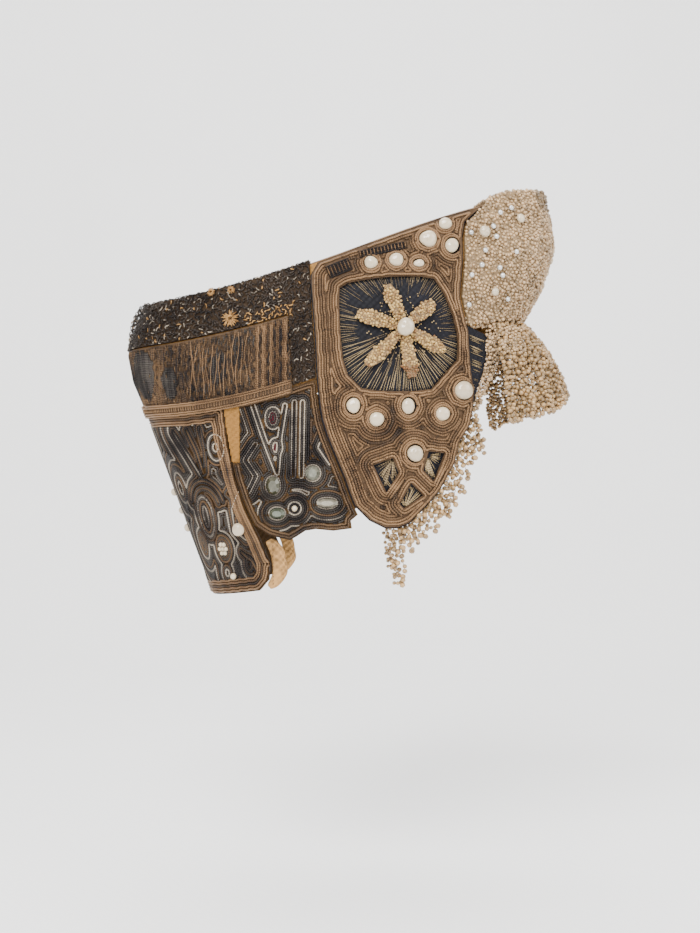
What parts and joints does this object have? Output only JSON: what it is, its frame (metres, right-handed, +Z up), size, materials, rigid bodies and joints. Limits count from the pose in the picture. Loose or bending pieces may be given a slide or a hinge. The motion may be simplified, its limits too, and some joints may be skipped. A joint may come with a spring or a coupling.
{
  "type": "kokoshnik headdress",
  "caption": "Old Russian horned kokoshnik: hollow silk cap with metal lace, gold-cord ear lobes set with pearls, a pearl-covered horn, a pearl net frill, fringes and an embroidered back flap.",
  "frame": {"origin": "on the mid-plane, on the underside of the cap's top where the wearer's head bears (mount head_seat)", "axes": "+X to the wearer's front, +Y to the wearer's left, +Z up"},
  "size_m": [0.3229, 0.1876, 0.2896],
  "materials": {
    "silk": "worn ochre silk",
    "lining": "stained cream cotton",
    "lace": "oxidised metal lace",
    "brocade": "brown and dark metal brocade",
    "galloon": "woven gold braid",
    "embroidery": "oxidised metal cord embroidery on cloth",
    "velvet": "blue-black ground with gilt threads",
    "cordwork": "couched gold cord",
    "seed_pearl": "strung seed pearls",
    "pearl": "river pearls",
    "clear_stone": "cut clear glass",
    "green_stone": "cut olive and grey-green glass"
  },
  "bodies": {
    "root": {"crown_shell": "silk", "crown_top": "silk", "crown_lace": "lace", "brocade_band": "brocade", "galloon": "galloon", "back_flap": "embroidery", "horn": "seed_pearl", "frill": "seed_pearl", "flap_lining_right": "lining", "side_panel_right": "embroidery", "ear_lobe_right": "velvet", "lobe_cordwork_right": "cordwork", "flower_right": "seed_pearl", "pearl_band_right": "seed_pearl", "fringe_right": "seed_pearl", "lobe_pearl_01_right": "pearl", "lobe_pearl_02_right": "pearl", "lobe_pearl_03_right": "pearl", "lobe_pearl_04_right": "pearl", "lobe_pearl_05_right": "pearl", "lobe_pearl_06_right": "pearl", "lobe_pearl_07_right": "pearl", "lobe_pearl_08_right": "pearl", "lobe_pearl_09_right": "pearl", "lobe_pearl_10_right": "pearl", "lobe_pearl_11_right": "pearl", "lobe_pearl_12_right": "pearl", "flower_pearl_right": "pearl", "flap_pearl_right": "pearl", "stone_clear_right": "clear_stone", "stone_oblong_right": "clear_stone", "stone_olive_right": "green_stone", "stone_green_right": "green_stone", "flap_lining_left": "lining", "side_panel_left": "embroidery", "ear_lobe_left": "velvet", "lobe_cordwork_left": "cordwork", "flower_left": "seed_pearl", "pearl_band_left": "seed_pearl", "fringe_left": "seed_pearl", "lobe_pearl_01_left": "pearl", "lobe_pearl_02_left": "pearl", "lobe_pearl_03_left": "pearl", "lobe_pearl_04_left": "pearl", "lobe_pearl_05_left": "pearl", "lobe_pearl_06_left": "pearl", "lobe_pearl_07_left": "pearl", "lobe_pearl_08_left": "pearl", "lobe_pearl_09_left": "pearl", "lobe_pearl_10_left": "pearl", "lobe_pearl_11_left": "pearl", "lobe_pearl_12_left": "pearl", "flower_pearl_left": "pearl", "flap_pearl_left": "pearl", "stone_clear_left": "clear_stone", "stone_oblong_left": "clear_stone", "stone_olive_left": "green_stone", "stone_green_left": "green_stone"}
  },
  "joints": []
}
